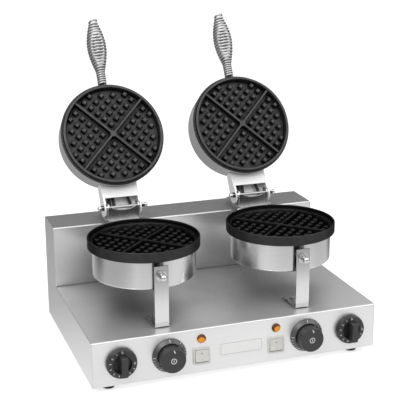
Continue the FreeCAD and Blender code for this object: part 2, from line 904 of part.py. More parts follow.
def drum_leg():
    """Bent strip from the deck up to the front of the drum."""
    half = leg_width / 2
    back = leg_front_y + leg_sheet
    toe = leg_front_y + leg_foot
    top = bolt_z + leg_margin
    section = [
        (leg_front_y, deck_z, leg_bend), (toe, deck_z, 0), (toe, deck_z + leg_sheet, 0),
        (back, deck_z + leg_sheet, leg_bend - leg_sheet), (back, top, 0), (leg_front_y, top, 0)]
    strip = along_x(section, -half, half)
    screw_place = at(0, toe - leg_screw_inset, deck_z)
    return strip.cut([drum_bore(bolt_radius + hole_clearance), moved(screw_hole(2 * leg_sheet), screw_place)])


def drum_bolts():
    """Per drum: a domed front bolt and a rear bolt, each with its spacer, and a bolt from below."""
    outside = Part.makeCylinder(drum_radius, drum_height, Vector(0, plate_y, drum_z))
    inside = Part.makeCylinder(drum_radius - drum_wall, drum_height, Vector(0, plate_y, drum_z))
    facing = Rotation(Vector(1, 0, 0), 90)
    washer = rod(washer_radius, Vector(0, 0, 0), Vector(0, 0, washer_thickness))
    dome = moved(acorn_nut(bolt_nut_size, bolt_nut_hex, bolt_nut_height, bolt_dome_radius),
                 at(0, 0, washer_thickness))
    front_head = moved(washer.fuse(dome), at(0, leg_front_y, bolt_z, facing))
    front_end = drum_front_y + drum_wall + inner_nut_height
    front_shank = rod(bolt_radius, Vector(0, leg_front_y, bolt_z), Vector(0, front_end, bolt_z))
    front_nut = rod(inner_nut_radius, Vector(0, drum_front_y, bolt_z), Vector(0, front_end, bolt_z))
    front_nut = front_nut.common(inside)
    leg_back_y = leg_front_y + leg_sheet
    front_spacer = rod(inner_nut_radius, Vector(0, leg_back_y, bolt_z), Vector(0, front_end, bolt_z))
    front_spacer = front_spacer.cut(outside)
    front = front_head.fuse([front_shank, front_nut, front_spacer]).removeSplitter()

    drum_back_y = plate_y + drum_radius
    head_y = bridge_front_y + bridge_sheet
    rear_end = drum_back_y - drum_wall - inner_nut_height
    rear_head = rod(inner_nut_radius, Vector(0, head_y, bolt_z), Vector(0, head_y + inner_nut_height, bolt_z))
    rear_shank = rod(bolt_radius, Vector(0, rear_end, bolt_z), Vector(0, head_y, bolt_z))
    rear_nut = rod(inner_nut_radius, Vector(0, rear_end, bolt_z), Vector(0, drum_back_y, bolt_z)).common(inside)
    spacer = rod(inner_nut_radius, Vector(0, rear_end, bolt_z), Vector(0, bridge_front_y, bolt_z)).cut(outside)
    rear = rear_head.fuse([rear_shank, rear_nut, spacer]).removeSplitter()

    low_head = rod(inner_nut_radius, Vector(0, plate_y, drum_z - inner_nut_height), Vector(0, plate_y, drum_z))
    low_shank = rod(bolt_radius, Vector(0, plate_y, drum_z), Vector(0, plate_y, plate_underside()))
    low = low_head.fuse(low_shank).removeSplitter()
    return Part.makeCompound([
        moved(bolt, station(side)) for side in sides.values() for bolt in (front, rear, low)])


# Hinges

def hinge_bridge():
    """Folded channel on the column, with a tab in front that carries the back of the drum."""
    half = bridge_width / 2
    top = along_z(rectangle(-half, half, bridge_front_y, bridge_back_y), bridge_z - bridge_sheet, bridge_z)
    section = rectangle(bridge_front_y, bridge_back_y, column_z, bridge_z)
    walls = [along_x(section, edge * (half - bridge_sheet), edge * half) for edge in (-1, 1)]
    half_tab = bridge_tab_width / 2
    tab = along_y(
        rectangle(-half_tab, half_tab, bolt_z - bridge_tab_margin, bridge_z),
        bridge_front_y, bridge_front_y + bridge_sheet)
    bridge = top.fuse(walls + [tab]).removeSplitter()
    screw_y = bridge_back_y - bridge_screw_inset
    holes = [moved(screw_hole(2 * bridge_sheet), at(edge * bridge_screw_spacing / 2, screw_y, bridge_z))
             for edge in (-1, 1)]
    holes.append(drum_bore(bolt_radius + hole_clearance))
    for place in lead_places:
        start = Vector(place[0], lead_y, column_z)
        holes.append(rod(lead_radius + lead_clearance, start, start + Vector(0, 0, 2 * bridge_height)))
    return bridge.cut(holes)


def hinge_bracket():
    """Folded bracket: two ears for the pin, a front wall with a dip in its top and two bottom flanges."""
    half = bracket_width / 2
    front = pin_y - bracket_front
    back = pin_y + bracket_back
    ear_top = pin_z + ear_rise
    profile = [
        (front, bridge_z, 0), (back, bridge_z, 0), (back, ear_top, ear_corner), (front, ear_top, ear_corner)]
    pieces = []
    for edge in (-1, 1):
        pieces.append(along_x(profile, edge * (half - bracket_sheet), edge * half))
        pieces.append(along_x(
            rectangle(front, back, bridge_z, bridge_z + bracket_sheet),
            edge * half, edge * (half + bracket_flange)))
    wall_top = pin_z + bracket_wall_top
    wall = along_y(rectangle(-half, half, bridge_z, wall_top), front, front + bracket_sheet)
    half_dip = bracket_dip_width / 2
    dip_radius = (half_dip ** 2 + bracket_dip ** 2) / (2 * bracket_dip)
    dip_z = wall_top - bracket_dip + dip_radius
    dip_end = front + bracket_sheet + overcut
    wall = wall.cut(rod(dip_radius, Vector(0, front - overcut, dip_z), Vector(0, dip_end, dip_z)))
    bracket = wall.fuse(pieces).removeSplitter()
    reach = Vector(half + overcut, 0, 0)
    pin = Vector(0, pin_y, pin_z)
    return bracket.cut(rod(pin_radius + running_fit, pin - reach, pin + reach))


def hinge_pin():
    reach = nut_face + hinge_nut_bore
    return rod(pin_radius, Vector(-reach, pin_y, pin_z), Vector(reach, pin_y, pin_z))


def pivot_bushes():
    """Bushes between the bracket's ears and the nuts, which the lid arms turn on."""
    bushes = []
    for side in sides.values():
        for edge in (-1, 1):
            start = Vector(edge * bracket_width / 2, pin_y, pin_z)
            end = Vector(edge * nut_face, pin_y, pin_z)
            bush = rod(bush_radius, start, end).cut(rod(pin_radius + running_fit, start, end))
            bushes.append(moved(bush, station(side)))
    return Part.makeCompound(bushes)


def hinge_nuts():
    nut = acorn_nut(hinge_nut_size, hinge_nut_hex, hinge_nut_height, hinge_dome_radius)
    nut = nut.cut(rod(pin_radius + running_fit, Vector(0, 0, 0), Vector(0, 0, hinge_nut_bore)))
    nuts = []
    for side in sides.values():
        for edge in (-1, 1):
            facing = Rotation(Vector(0, 1, 0), edge * 90)
            nuts.append(moved(nut, at(side * plate_offset + edge * nut_face, pin_y, pin_z, facing)))
    return Part.makeCompound(nuts)


# Lids, modelled in the lid frame

def shell_radius(level):
    """Outer radius of the lid shell at a level out of the lid's face."""
    return shell_mouth_radius - shell_draft * (shell_mouth - level) / shell_depth


def shell_solid(growth):
    """Solid cone through the shell's outer surface, grown by an allowance and run on past its back."""
    low = shell_mouth - 2 * shell_depth
    return Part.makeCone(
        shell_radius(low) + growth, shell_mouth_radius + growth, 2 * shell_depth, Vector(0, pin_distance, low))


def handle_line(distance):
    """Point on the handle's axis, at a distance from the shell's surface."""
    return Vector(0, pin_distance + shell_radius(handle_w) + distance, handle_w)


def lid_shell():
    shell = cup(shell_mouth_radius, shell_depth, shell_wall, shell_corner, shell_draft)
    shell = moved(shell, at(0, pin_distance, shell_mouth))
    rod_hole = rod(rod_radius + hole_clearance, handle_line(-inner_nut_height), handle_line(collar_height))
    nut_hole = rod(bolt_radius + hole_clearance, Vector(0, pin_distance, shell_back - overcut),
                   Vector(0, pin_distance, shell_back + 2 * shell_wall))
    return shell.cut([rod_hole, nut_hole])


def lid_element():
    """Ring behind the lid plate; its legs stand on the back of the shell."""
    ring = element(lid_plate_back, shell_back + shell_wall)
    return moved(ring, at(0, pin_distance, 0))


def lid_nut():
    """Stud from the lid plate through the back of the shell, with its washer and domed nut."""
    washer = rod(washer_radius, Vector(0, 0, 0), Vector(0, 0, washer_thickness))
    dome = moved(acorn_nut(bolt_nut_size, bolt_nut_hex, bolt_nut_height, bolt_dome_radius),
                 at(0, 0, washer_thickness))
    stud = rod(bolt_radius, Vector(0, 0, shell_back - lid_plate_back), Vector(0, 0, 0))
    facing = Rotation(Vector(1, 0, 0), 180)
    return moved(washer.fuse([dome, stud]).removeSplitter(), at(0, pin_distance, shell_back, facing))


def shell_line(x, level):
    """Distance along the lid at which the shell's surface starts, at a place across the lid and a level."""
    return pin_distance - math.sqrt(shell_radius(level) ** 2 - x ** 2)


def arm_line(distance):
    """Front edge of the arm's cheeks at a distance along the lid."""
    return arm_front - arm_slope * distance


def lid_arm():
    """Two cheeks on the pin, a front web with a window under it, a back plate and a saddle round the shell."""
    tip = shell_line(arm_half_width, -arm_back) + overcut
    profile = [
        (tip, arm_line(tip), 0), (-arm_low_end, arm_line(-arm_low_end), arm_low_corner),
        (-arm_low_end, -arm_back, arm_low_corner), (tip, -arm_back, 0)]
    cheeks = [along_x(profile, edge * (arm_half_width - arm_sheet), edge * arm_half_width) for edge in (-1, 1)]
    web = along_x(
        [(strip_start, arm_line(strip_start), 0), (tip, arm_line(tip), 0),
         (tip, arm_line(tip) - web_sheet, 0), (strip_start, arm_line(strip_start) - web_sheet, 0)],
        -arm_half_width, arm_half_width)
    window = arm_half_width - strip_width
    web = web.cut(along_z(rectangle(-window, window, -arm_low_end, web_bottom), -arm_back, arm_back))
    back = along_x(
        [(0, -arm_back, 0), (tip, -arm_back, 0), (tip, web_sheet - arm_back, 0), (0, web_sheet - arm_back, 0)],
        -arm_half_width, arm_half_width)
    saddle = shell_solid(saddle_sheet).common(
        along_z(rectangle(-arm_half_width, arm_half_width, 0, pin_distance), -saddle_bottom, -saddle_top))
    reach = Vector(arm_half_width + overcut, 0, 0)
    bush_hole = rod(bush_radius + running_fit, -reach, reach)
    lead_holes = []
    for place in lead_places:
        corner, end = lead_line(place)
        lead_holes.append(rod(lead_radius + lead_clearance, corner, end))
    return web.fuse(cheeks + [back, saddle]).removeSplitter().cut([shell_solid(0), bush_hole] + lead_holes)


def lead_line(place):
    """Upper straight of a lead in the lid frame, from its bend's corner over the foot to inside the shell."""
    foot_x, end_x = place
    along = lid_lift.multVec(Vector(0, 1, 0))
    out = lid_lift.multVec(Vector(0, 0, 1))
    rise = (lead_y - pin_y + out.y * lead_depth) / along.y
    corner = Vector(foot_x, rise, -lead_depth)
    return corner, Vector(end_x, shell_line(end_x, -lead_depth) + lead_radius + overcut, -lead_depth)


def lid_leads():
    """Leads from the column top up to the shell, each straight, bent once and straight again."""
    up = Vector(0, 0, 1)
    leads = []
    for place in lead_places:
        corner, end = [lid_place().multVec(point) for point in lead_line(place)]
        foot = Vector(corner.x, lead_y, column_z)
        way = (end - corner).normalize()
        half_turn = up.getAngle(way) / 2
        reach = lead_bend * math.tan(half_turn)
        start_bend = corner - up * reach
        end_bend = corner + way * reach
        inward = (way - up).normalize()
        middle = corner + inward * (lead_bend / math.cos(half_turn) - lead_bend)
        path = Part.Wire([
            Part.makeLine(foot, start_bend), Part.Arc(start_bend, middle, end_bend).toShape(),
            Part.makeLine(end_bend, end)])
        section = Part.Wire(Part.Circle(foot, up, lead_radius).toShape())
        lead = path.makePipeShell([section], True, False)
        leads.append(lead.cut(moved(shell_solid(0), lid_place())))
    return Part.makeCompound(leads)


# Handle, modelled with its axis along Z and z = 0 at the shell's surface

def grip_radius(height):
    """Outer radius of the coil grip: a straight neck, a belly and a tapering tip."""
    swell = belly_grip_radius - neck_grip_radius
    if height < neck_end:
        return neck_grip_radius
    if height < belly_place:
        share = (height - neck_end) / (belly_place - neck_end)
        return neck_grip_radius + swell * math.sin(math.pi / 2 * share)
    if height < taper_end:
        share = (height - belly_place) / (taper_end - belly_place)
        return neck_grip_radius + swell * math.cos(math.pi / 2 * share)
    return neck_grip_radius


def wire_radius(height):
    return grip_radius(height) - wire / 2


def wire_pitch(height):
    share = min(max((height - neck_end) / pitch_ramp, 0), 1)
    return tight_pitch + (wide_pitch - tight_pitch) * share


def coil_nodes():
    """Points a half turn apart along the wire, each with the wire's direction there."""
    height = collar_height + wire + wire_bend
    limit = handle_length - wire / 2
    heights = [height]
    while height + wire_pitch(height) / 2 <= limit:
        height += wire_pitch(height) / 2
        heights.append(height)
    nodes = []
    for step, height in enumerate(heights):
        turn = math.pi * step
        rise = wire_pitch(height) / 2
        growth = wire_radius(height + rise / 2) - wire_radius(height - rise / 2)
        if step in (0, len(heights) - 1):
            rise = 0
            growth = 0
        radius = wire_radius(height)
        outward = Vector(math.cos(turn), math.sin(turn), 0)
        around = Vector(-math.sin(turn), math.cos(turn), 0)
        direction = around * (math.pi * radius) + outward * growth + Vector(0, 0, rise)
        nodes.append((outward * radius + Vector(0, 0, height), direction.normalize()))
    return nodes


def corner_arc(start, corner, end):
    """Arc that leaves start towards the corner and reaches end from it."""
    weight = start.distanceToPoint(end) / (2 * start.distanceToPoint(corner))
    middle = (start + corner * (2 * weight) + end) * (1 / (2 + 2 * weight))
    return Part.Arc(start, middle, end).toShape()


def biarc(start, start_way, end, end_way):
    """Two arcs that join two points along the given directions."""
    chord = end - start
    ways = start_way + end_way
    bend = 2 * (1 - start_way.dot(end_way))
    along = chord.dot(ways)
    reach = (math.sqrt(along ** 2 + bend * chord.dot(chord)) - along) / bend
    first = start + start_way * reach
    second = end - end_way * reach
    middle = (first + second) * 0.5
    return [corner_arc(start, first, middle), corner_arc(middle, second, end)]


def coil_path():
    """Edges of the wire: a straight foot on the collar and then the turns."""
    nodes = coil_nodes()
    up = Vector(0, 0, 1)
    first, first_way = nodes[0]
    foot_corner = first - first_way * wire_bend
    foot_top = foot_corner - up * wire_bend
    foot = Vector(foot_top.x, foot_top.y, collar_height)
    edges = [Part.makeLine(foot, foot_top), corner_arc(foot_top, foot_corner, first)]
    for (start, start_way), (end, end_way) in zip(nodes, nodes[1:]):
        edges += biarc(start, start_way, end, end_way)
    return edges


def coil_gap(edges):
    """Least gap between stretches of the wire that are at least half a turn apart."""
    points = []
    travelled = 0
    for edge in edges:
        for sample in edge.discretize(coil_samples)[:-1]:
            points.append((travelled, (sample.x, sample.y, sample.z)))
            travelled += edge.Length / (coil_samples - 1)
    half_turn = math.pi * (neck_grip_radius - wire / 2)
    least = min(
        math.dist(a, b) for index, (here, a) in enumerate(points)
        for there, b in points[index + 1:] if there - here > half_turn)
    return least - wire


def handle_place():
    """Handle axis along the lid, at the shell's surface."""
    return Placement(handle_line(0), Rotation(Vector(1, 0, 0), -90))


def handle_coil():
    edges = coil_path()
    path = Part.Wire(edges)
    start = edges[0].Vertexes[0].Point
    section = Part.Wire(Part.Circle(start, Vector(0, 0, 1), wire / 2).toShape())
    coil = path.makePipeShell([section], True, False)
    share = coil.Volume / (math.pi * wire ** 2 / 4 * path.Length)
    print("coil: half turns", len(coil_nodes()) - 1, "least gap", round(coil_gap(edges), 2),
          "volume over section times length", round(share, 4))
    return moved(coil, handle_place())


def handle_rod():
    """Rod through the shell with a nut inside, a collar on the shell and a stub that the coil winds round."""
    inner_end = -shell_wall - inner_nut_height
    stub = moved(turned([
        (0, inner_end, 0), (rod_radius, inner_end, 0), (rod_radius, rod_reach, rod_edge), (0, rod_reach, 0)]),
        handle_place())
    collar_radius = math.hypot(wire_radius(0), wire_bend) + wire / 2 + collar_margin
    collar = rod(collar_radius, handle_line(-collar_radius), handle_line(collar_height))
    collar = collar.cut(shell_solid(0))
    nut = rod(inner_nut_radius, handle_line(inner_end), handle_line(0))
    nut = nut.common(shell_solid(-shell_wall))
    return stub.fuse([collar, nut]).removeSplitter()


# Export

def save(name, shape):
    shape.exportStep(f"parts/{name}.step")
    print(name, len(shape.Solids), round(shape.Volume), shape.isValid())


def build():
    os.makedirs("parts", exist_ok=True)
    shared = (base_cover, column_cover, back_panel, bottom_plate, feet, foot_screws, housing_screws, cord_gland,
              terminal_block, name_plate, thermostats, timers, timer_dials, switch_bodies, lamp_lenses,
              lamp_bodies, lower_elements, drum_bolts, pivot_bushes, hinge_nuts)
    for piece in shared:
        save(piece.__name__, piece())
    lower = {piece.__name__: piece() for piece in (
        lower_plate, lower_drum, drum_leg, hinge_bridge, hinge_bracket, hinge_pin, lid_leads)}
    lid = {piece.__name__: moved(piece(), lid_place()) for piece in (
        lid_plate, lid_shell, lid_element, lid_nut, lid_arm, handle_rod, handle_coil)}
    controls = {
        "thermostat_knob": (thermostat_knob(), thermostat_offset, knob_height),
        "thermostat_shaft": (control_shaft(), thermostat_offset, knob_height),
        "timer_knob": (timer_knob(), timer_offset, knob_height),
        "timer_shaft": (control_shaft(), timer_offset, knob_height),
        "rocker": (rocker(), switch_offset, switch_height)}
    for side_name, side in sides.items():
        save(f"side_panel_{side_name}", side_panel(side))
        for name, shape in (lower | lid).items():
            save(f"{name}_{side_name}", moved(shape, station(side)))
        for name, (shape, offset, height) in controls.items():
            save(f"{name}_{side_name}", moved(shape, panel_place(side * offset, height)))


build()
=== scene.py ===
import bpy
import math
from mathutils import Matrix, Vector


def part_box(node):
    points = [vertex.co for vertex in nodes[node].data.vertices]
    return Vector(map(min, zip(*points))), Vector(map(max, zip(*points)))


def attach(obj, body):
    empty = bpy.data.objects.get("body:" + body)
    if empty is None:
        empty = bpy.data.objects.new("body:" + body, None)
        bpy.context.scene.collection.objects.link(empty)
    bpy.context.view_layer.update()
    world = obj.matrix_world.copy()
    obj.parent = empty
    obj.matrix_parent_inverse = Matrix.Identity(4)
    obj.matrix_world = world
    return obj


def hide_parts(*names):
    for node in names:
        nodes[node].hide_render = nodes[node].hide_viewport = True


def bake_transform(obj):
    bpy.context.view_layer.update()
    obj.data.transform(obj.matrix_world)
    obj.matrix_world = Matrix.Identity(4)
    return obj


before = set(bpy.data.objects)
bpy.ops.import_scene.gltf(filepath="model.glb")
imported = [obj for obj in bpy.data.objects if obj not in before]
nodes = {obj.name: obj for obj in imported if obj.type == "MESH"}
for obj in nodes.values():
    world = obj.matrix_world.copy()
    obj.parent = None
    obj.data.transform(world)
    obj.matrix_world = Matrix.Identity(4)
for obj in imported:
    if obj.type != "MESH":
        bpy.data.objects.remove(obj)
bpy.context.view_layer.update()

# Places on the part, in metres
SIDES = (("left", -1), ("right", 1))
LID_LEAN = math.radians(29)
PANEL_Y = -0.18
KNOB_Z = 0.053
THERMOSTAT_X = 0.212
TIMER_X = 0.1275
SWITCH_X = 0.0693
SWITCH_Z = 0.043
LAMP_Z = 0.0747
PLATE_X = 0.131

# Prints on the controls: heights, distances from the middle and the turn from one mark to the next
PRINT_START = 0.06
DIGIT = 0.0052
ZERO_DIGIT = 0.0066
THERMOSTAT_RADIUS = 0.0212
THERMOSTAT_TURN = 27
TIMER_RADIUS = 0.0273
TIMER_TURN = 54
ZERO_MARK_RADIUS = 0.0272
TICK_RADIUS = 0.0285
TICK_TURN = 10.8
TICKS_PER_NUMBER = 5
POINTER_RADIUS = 0.0172
POINTER_TURN = 4
POINTER_SLANT = 0.45
SWITCH_RING_UP = 0.005
SWITCH_BAR_DOWN = 0.0052
BORDER_INSET = 0.003
FILM = 0.00012
THIN_FILM = 0.00004

# Housing screws, of which those under this height face down
UNDERSIDE_Z = 0.05
HEAD_RADIUS = 0.0033
HEAD_HEIGHT = 0.002
SHANK_RADIUS = 0.0017
SHANK_LENGTH = 0.0068

# Lid leads: where each leaves the column and meets the lid, across from the lid's middle
LEADS = ((-0.02, -0.021), (-0.012, -0.013), (0.021, 0.01))
LEAD_RADIUS = 0.003
LEAD_Y = 0.106
LEAD_FOOT_Z = 0.2085
LEAD_STRAIGHT_Z = 0.224
LEAD_CORNER_Z = 0.2376
LEAD_END_Y = 0.1247
LEAD_END_Z = 0.2714

# Camera of the photograph
CAMERA_PLACE = (-0.6202, -1.7543, 0.8109)
CAMERA_TURN = (-19.237, -16.341, -0.222)
CAMERA_LENS = 95.04
CAMERA_FILM = 36

WHITE = (1, 1, 1, 1)


def grey(level):
    """A neutral colour."""
    return (level, level, level, 1)


class Value:
    """A shader socket that takes part in Python arithmetic."""

    def __init__(self, socket):
        self.socket = socket

    @classmethod
    def node(cls, tree, kind, settings=None, inputs=None, output=0):
        """Adds a node of any kind, with its settings and the values or links of its sockets."""
        made = tree.nodes.new(kind)
        for name, setting in (settings or {}).items():
            setattr(made, name, setting)
        for name, value in (inputs or {}).items():
            if isinstance(value, Value):
                tree.links.new(value.socket, made.inputs[name])
            else:
                made.inputs[name].default_value = value
        return cls(made.outputs[output])

    def math(self, operation, *others, flip=False):
        """One Math node on this value and others."""
        terms = (*others, self) if flip else (self, *others)
        tree = self.socket.id_data
        return Value.node(tree, "ShaderNodeMath", {"operation": operation}, dict(enumerate(terms)))

    def __add__(self, other):
        return self.math("ADD", other)

    def __radd__(self, other):
        return self.math("ADD", other)

    def __sub__(self, other):
        return self.math("SUBTRACT", other)

    def __rsub__(self, other):
        return self.math("SUBTRACT", other, flip=True)

    def __mul__(self, other):
        return self.math("MULTIPLY", other)

    def __rmul__(self, other):
        return self.math("MULTIPLY", other)

    def __pow__(self, other):
        return self.math("POWER", other)

    def __abs__(self):
        return self.math("ABSOLUTE")

    def step(self, low, high):
        """0 below low, 1 above high and smooth between."""
        return Value.node(self.socket.id_data, "ShaderNodeMapRange", {"interpolation_type": "SMOOTHSTEP"},
                          {0: self, 1: low, 2: high})


# Patterns

def spot(tree, turn=(0, 0, 0), stretch=(1, 1, 1), shift=(0, 0, 0)):
    """The place on the part, turned and stretched."""
    place = Value.node(tree, "ShaderNodeTexCoord", output="Object")
    return Value.node(tree, "ShaderNodeMapping", inputs={
        "Vector": place, "Location": shift, "Rotation": turn, "Scale": stretch})


def xyz(tree):
    """The place on the part as three numbers."""
    place = spot(tree)
    return [Value.node(tree, "ShaderNodeSeparateXYZ", inputs={0: place}, output=i) for i in range(3)]


def noise(tree, place, scale, detail=2.0, roughness=0.5):
    """Soft noise from 0 to 1."""
    return Value.node(tree, "ShaderNodeTexNoise", inputs={
        "Vector": place, "Scale": scale, "Detail": detail, "Roughness": roughness})


def mix(factor, first, second):
    """One colour going over into another."""
    return Value.node(factor.socket.id_data, "ShaderNodeMix", {"data_type": "RGBA"},
                      {0: factor, 6: first, 7: second}, output=2)


def bump(height, strength, distance, normal=None):
    """Surface relief from a height."""
    inputs = {"Height": height, "Strength": strength, "Distance": distance}
    if normal:
        inputs["Normal"] = normal
    return Value.node(height.socket.id_data, "ShaderNodeBump", inputs=inputs)


def soft_edge(tree, radius):
    """The normal with edges rounded over a radius, and how near a point is to such an edge."""
    rounded = Value.node(tree, "ShaderNodeBevel", {"samples": 6}, {"Radius": radius})
    flat = Value.node(tree, "ShaderNodeNewGeometry", output="Normal")
    alike = Value.node(tree, "ShaderNodeVectorMath", {"operation": "DOT_PRODUCT"},
                       {0: rounded, 1: flat}, output="Value")
    return rounded, (1 - alike).step(0.01, 0.25)


def openness(tree, reach, samples):
    """1 in the open, falling towards 0 in hollows within a reach."""
    return Value.node(tree, "ShaderNodeAmbientOcclusion", {"samples": samples},
                      {"Distance": reach}, output="AO")


def finish(name, **settings):
    """A material, its node tree and its shader with the settings that are the same all over."""
    material = bpy.data.materials.new(name)
    material.use_nodes = True
    shader = material.node_tree.nodes["Principled BSDF"]
    for socket, value in settings.items():
        shader.inputs[socket.replace("_", " ")].default_value = value
    return material, material.node_tree, shader


def feed(shader, **values):
    """Links varying values to the shader."""
    for socket, value in values.items():
        shader.id_data.links.new(value.socket, shader.inputs[socket.replace("_", " ")])


# Finishes

def brushed_steel(name, grain, rough, tone=0.74, turn=(0, 0, 0), depth=0.2, metal=1.0,
                  underside_shade=None, darker_above=None, hollow_shade=None, hollow_shade_tone=None, flat=False):
    """Stainless sheet with fine brush lines, faint smears and worn edges.

    It can be painted darker where it faces down, as shade on its undersides, and darker towards the top over
    a band of heights;
    and painted darker in its hollows as shade, there only where it faces up if it is called flat.
    """
    material, tree, shader = finish(name, Metallic=metal)
    lines = noise(tree, spot(tree, turn=turn, stretch=grain), 1.0, 2.0, 0.5)
    smear = noise(tree, spot(tree, stretch=(5, 6, 8)), 1.0, 3.0, 0.5)
    rounded, edge = soft_edge(tree, 0.0009)
    shade = 0.6 * lines + 0.4 * smear
    colour = mix(shade.step(0.3, 0.7), grey(tone * 0.96), grey(tone * 1.04))
    colour = mix(edge * 0.5, colour, grey(min(tone * 1.15, 0.95)))
    normal = Value.node(tree, "ShaderNodeNewGeometry", output="Normal")
    facing = Value.node(tree, "ShaderNodeSeparateXYZ", inputs={0: normal}, output=2)
    # Painted shade: faces turned down are painted darker, standing in for the shade on the drums'
    # undersides.
    if underside_shade:
        colour = mix((0 - facing).step(0.6, 0.95), colour, grey(underside_shade))
    # Darker towards the top, over a band of heights.
    if darker_above:
        colour = mix(xyz(tree)[2].step(*darker_above), colour, grey(tone * 0.62))
    # Painted shade: hollows found by ambient occlusion are painted darker where shade would fall.
    if hollow_shade:
        painted_shade = 1 - openness(tree, hollow_shade, 8).step(0.2, 0.72)
        colour = mix(painted_shade * facing.step(0.5, 0.9) if flat else painted_shade, colour, grey(tone * hollow_shade_tone))
    feed(shader, Base_Color=colour, Roughness=rough - 0.03 + 0.04 * lines + 0.03 * smear,
         Normal=bump(lines, depth, 0.00005, rounded))
    return material


def polished_steel(name, tone, rough, hollow_shade=None):
    """Bright steel with faint wiping marks and, where asked, painted shade in its hollows."""
    material, tree, shader = finish(name, Metallic=1.0)
    wipe = noise(tree, spot(tree, stretch=(180, 60, 120)), 1.0, 3.0)
    haze = noise(tree, spot(tree, stretch=(30, 30, 30)), 1.0, 2.0)
    rounded, edge = soft_edge(tree, 0.0005)
    colour = mix(haze, grey(tone * 0.93), grey(tone * 1.05))
    # Painted shade: hollows, such as the gaps between spring turns, are painted near black.
    if hollow_shade:
        colour = mix(openness(tree, hollow_shade, 8).step(0.25, 0.8), grey(tone * 0.08), colour)
    feed(shader, Base_Color=colour, Roughness=rough - 0.03 + 0.09 * wipe + 0.06 * haze + 0.06 * edge,
         Normal=bump(wipe, 0.03, 0.00005, rounded))
    return material


def cast_iron(name, rubbed, hollow_shade):
    """Seasoned cast iron: oily black with a sandy grain and greyer, rubbed tops, its hollows painted near
    black as shade.
    """
    material, tree, shader = finish(name, Metallic=0.85, Specular_IOR_Level=0.3, Specular_Tint=grey(0.3))
    sand = noise(tree, spot(tree), 1400.0, 3.0, 0.6)
    cloud = noise(tree, spot(tree), 38.0, 4.0, 0.6)
    oil = noise(tree, spot(tree, shift=(3, 1, 2)), 90.0, 3.0)
    rounded, edge = soft_edge(tree, 0.0011)
    # Painted shade: the hollows between the teeth and at the foot of the rim are painted near black.
    open_air = openness(tree, 0.012, 6)
    dark = mix(open_air.step(0.25, 0.6), grey(0.003), grey(hollow_shade))
    tops = mix(cloud.step(0.35, 0.7), grey(rubbed * 0.85), grey(rubbed * 1.1))
    bare = mix(open_air.step(0.75, 1.0), dark, tops)
    feed(shader, Base_Color=mix(edge * open_air * 0.5, bare, grey(rubbed * 1.4)),
         Roughness=0.4 + 0.12 * cloud + 0.08 * sand - 0.08 * oil.step(0.5, 0.75),
         Normal=bump(sand, 0.18, 0.0001, rounded))
    return material


def moulding(name, low, high, rough, grain, edge_tone=1.3, hollow_shade=None, **settings):
    """Moulded plastic or rubber with a fine grain, rubbed edges and, where asked, painted shade in its
    hollows.
    """
    material, tree, shader = finish(name, **settings)
    pores = noise(tree, spot(tree), 2200.0, 2.0)
    cloud = noise(tree, spot(tree), 55.0, 3.0)
    rounded, edge = soft_edge(tree, 0.0006)
    worn = tuple(min(c * edge_tone, 1) for c in high[:3]) + (1,)
    colour = mix(edge * 0.6, mix(cloud, low, high), worn)
    # Painted shade: hollows, such as the knobs' finger wells, are painted near black.
    if hollow_shade:
        colour = mix(openness(tree, hollow_shade, 6).step(0.3, 0.9), grey(0.004), colour)
    feed(shader, Base_Color=colour, Roughness=rough - 0.04 + 0.09 * cloud + 0.05 * pores,
         Normal=bump(pores, grain, 0.00008, rounded))
    return material


def amber_lens(name):
    """Amber lens: amber middle, a faint cut pattern and a dark edge ring, partly painted shade."""
    material, tree, shader = finish(name, Coat_Weight=0.15, Coat_Roughness=0.05, Specular_IOR_Level=0.25)
    x, _, z = xyz(tree)
    across = abs(x) - SWITCH_X
    up = z - LAMP_Z
    reach = (across * across + up * up) ** 0.5
    cut = noise(tree, spot(tree), 420.0, 1.0)
    middle = mix(cut, (0.8, 0.25, 0.003, 1), (0.95, 0.36, 0.01, 1))
    # Partly a real dark edge ring and partly painted shade of the deep dome: the ring widens towards the top
    # and towards the machine's middle.
    edge_ring_and_shade = (reach + 0.25 * (up - across)).step(0.0044, 0.0066)
    rounded, _ = soft_edge(tree, 0.0005)
    feed(shader, Base_Color=mix(edge_ring_and_shade, middle, (0.12, 0.03, 0.003, 1)), Roughness=0.16 + 0.12 * cut,
         Normal=bump(cut, 0.15, 0.0002, rounded))
    return material


def woven_sleeve(name):
    """Glass-fibre sleeve, blackened, with a crossed weave."""
    material, tree, shader = finish(name)
    first, second = [Value.node(tree, "ShaderNodeTexWave", {"bands_direction": "DIAGONAL"}, {
        "Vector": spot(tree, stretch=(1, lean, 1)), "Scale": 190.0, "Distortion": 0.4}) for lean in (1, -1)]
    weave = first * second
    feed(shader, Base_Color=mix(weave, (0.018, 0.017, 0.016, 1), (0.075, 0.07, 0.066, 1)),
         Roughness=0.62 + 0.2 * weave, Normal=bump(weave, 0.5, 0.0003))
    return material


def mark_paint(name, low, high):
    """Printed marks, a little uneven."""
    material, tree, shader = finish(name)
    print_noise = noise(tree, spot(tree), 1500.0, 2.0)
    feed(shader, Base_Color=mix(print_noise, low, high), Roughness=0.42 + 0.16 * print_noise,
         Normal=bump(print_noise, 0.05, 0.00003))
    return material


